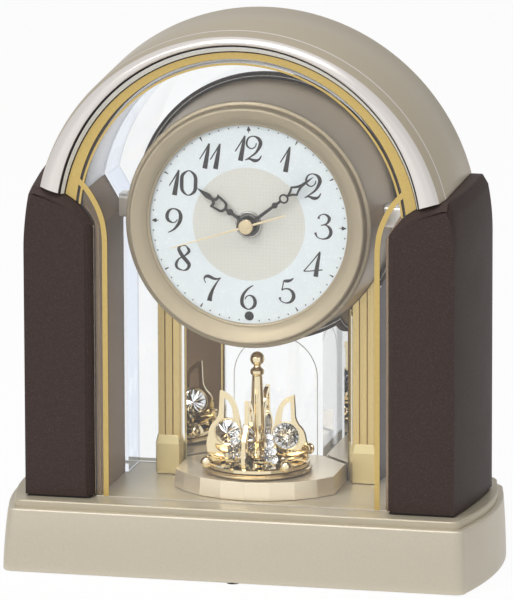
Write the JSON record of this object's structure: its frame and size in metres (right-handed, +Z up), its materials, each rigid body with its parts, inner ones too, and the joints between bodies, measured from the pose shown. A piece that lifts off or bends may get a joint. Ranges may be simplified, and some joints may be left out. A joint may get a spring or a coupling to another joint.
{
  "type": "table clock",
  "caption": "Arched table clock: a flared base and two pillars carry a glazed alcove with a round drum clock above a rotating gold ornament.",
  "frame": {"origin": "on the table, under the middle of the whole clock", "axes": "+Z up, -Y towards the viewer of the dial, +X to the right as seen from the front"},
  "size_m": [0.2304, 0.105, 0.2565],
  "materials": {
    "champagne_plastic": "satin metallic champagne lacquer on moulded plastic",
    "glossy_deck": "high gloss champagne lacquer",
    "grey_plastic": "plain moulded plastic",
    "rubber_foot": "matt rubber",
    "steel": "plated steel",
    "battery_can": "plain sleeve on a steel can",
    "black_plastic": "black moulded plastic",
    "brown_paint": "dark brown metallic lacquer with fine sparkle",
    "satin_rim": "satin pearl rim with a polished reveal",
    "clear_glass": "clear pane with printed gold lines",
    "bronze_lining": "bronze metallic lacquer",
    "silver_lining": "polished silver grey lacquer",
    "clear_cover": "clear moulded acrylic",
    "champagne_drum": "glossy metallic champagne lacquer",
    "satin_bezel": "satin champagne gold plating",
    "dial_white": "white dial with an ivory textured centre",
    "green_board": "green solder resist",
    "copper_winding": "enamelled copper winding",
    "brass_wheel": "plain brass",
    "black_hand": "black painted sheet metal",
    "gold_hand": "pale gold plating",
    "gold_column": "pale gold plating on moulded plastic",
    "mirror_plate": "silvered mirror",
    "ornament_gold": "bright gold plating on moulded plastic",
    "crystal": "cut clear crystal"
  },
  "bodies": {
    "case": {"base_shell": "champagne_plastic", "base_deck": "glossy_deck", "base_bottom_cover": "grey_plastic", "foot_front": "rubber_foot", "foot_rear_left": "rubber_foot", "foot_rear_right": "rubber_foot", "drive_motor": "steel", "battery_1": "battery_can", "battery_2": "battery_can", "pillar_right": "brown_paint", "pillar_left": "brown_paint", "arch_shell": "champagne_plastic", "arch_front_frame": "satin_rim", "front_glass": "clear_glass", "side_lining_right": "bronze_lining", "side_lining_left": "bronze_lining", "arch_lining": "silver_lining", "rear_clear_cover": "clear_cover", "drum_body": "champagne_drum", "drum_rear_cover": "brown_paint", "bezel_ring": "satin_bezel", "dial_plate": "dial_white", "light_sensor_window": "black_plastic", "dial_nut": "steel", "movement_front_case": "grey_plastic", "movement_rear_case": "grey_plastic", "circuit_board": "green_board", "antenna_rod": "copper_winding", "step_coil": "copper_winding", "drum_arm_right": "champagne_drum", "drum_arm_left": "champagne_drum", "column_right": "gold_column", "column_left": "gold_column", "mirror_right": "mirror_plate", "mirror_left": "mirror_plate", "pedestal": "champagne_plastic"},
    "minute": {"minute_hand": "black_hand", "minute_wheel": "brass_wheel"},
    "hour": {"hour_hand": "black_hand", "hour_wheel": "brass_wheel"},
    "motion": {"motion_wheel": "brass_wheel"},
    "second": {"second_hand": "gold_hand", "second_wheel": "brass_wheel"},
    "step": {"step_wheel": "brass_wheel"},
    "rotor": {"step_rotor": "black_plastic"},
    "ornament": {"turntable": "champagne_plastic", "ornament_plate": "ornament_gold", "ornament_post": "ornament_gold", "wing_front": "ornament_gold", "wing_right": "ornament_gold", "wing_rear": "ornament_gold", "wing_left": "ornament_gold", "crystal_front": "crystal", "crystal_right": "crystal", "crystal_rear": "crystal", "crystal_left": "crystal"},
    "set_button": {"set_button": "black_plastic"},
    "receive_button": {"receive_button": "black_plastic"},
    "switch": {"ornament_switch": "black_plastic"},
    "battery_door": {"battery_cover": "champagne_plastic"}
  },
  "joints": [
    {"name": "minute_turn", "type": "hinge", "parent": "case", "child": "minute", "pos_m": [0, -0.0192, 0.1616], "axis": [0, 1, 0], "continuous": true},
    {"name": "hour_turn", "type": "hinge", "parent": "case", "child": "hour", "pos_m": [0, -0.0174, 0.1616], "axis": [0, 1, 0], "continuous": true},
    {"name": "motion_turn", "type": "hinge", "parent": "case", "child": "motion", "pos_m": [0.0075, -0.0095, 0.17459], "axis": [0, 1, 0], "continuous": true},
    {"name": "second_turn", "type": "hinge", "parent": "case", "child": "second", "pos_m": [0, -0.021, 0.1616], "axis": [0, 1, 0], "continuous": true},
    {"name": "step_turn", "type": "hinge", "parent": "case", "child": "step", "pos_m": [-0.01644, -0.004, 0.15561], "axis": [0, 1, 0], "continuous": true},
    {"name": "rotor_turn", "type": "hinge", "parent": "case", "child": "rotor", "pos_m": [-0.01384, -0.002, 0.14084], "axis": [0, 1, 0], "continuous": true},
    {"name": "ornament_turn", "type": "hinge", "parent": "case", "child": "ornament", "pos_m": [0, 0.0015, 0.0423], "axis": [0, 0, 1], "continuous": true},
    {"name": "set_press", "type": "slide", "parent": "case", "child": "set_button", "axis": [0, -1, 0], "range_m": [0, 0.001], "stiffness_N_per_m": 400},
    {"name": "receive_press", "type": "slide", "parent": "case", "child": "receive_button", "axis": [0, -1, 0], "range_m": [0, 0.001], "stiffness_N_per_m": 400},
    {"name": "switch_slide", "type": "slide", "parent": "case", "child": "switch", "axis": [1, 0, 0], "range_m": [0, 0.003]},
    {"name": "battery_door_pull", "type": "slide", "parent": "case", "child": "battery_door", "axis": [0, 1, 0], "range_m": [0, 0.012]}
  ],
  "couplings": [
    {"joint": "hour_turn", "follows": "minute_turn", "ratio": 0.083333},
    {"joint": "motion_turn", "follows": "minute_turn", "ratio": -0.33333},
    {"joint": "step_turn", "follows": "second_turn", "ratio": -6},
    {"joint": "rotor_turn", "follows": "second_turn", "ratio": 30}
  ]
}
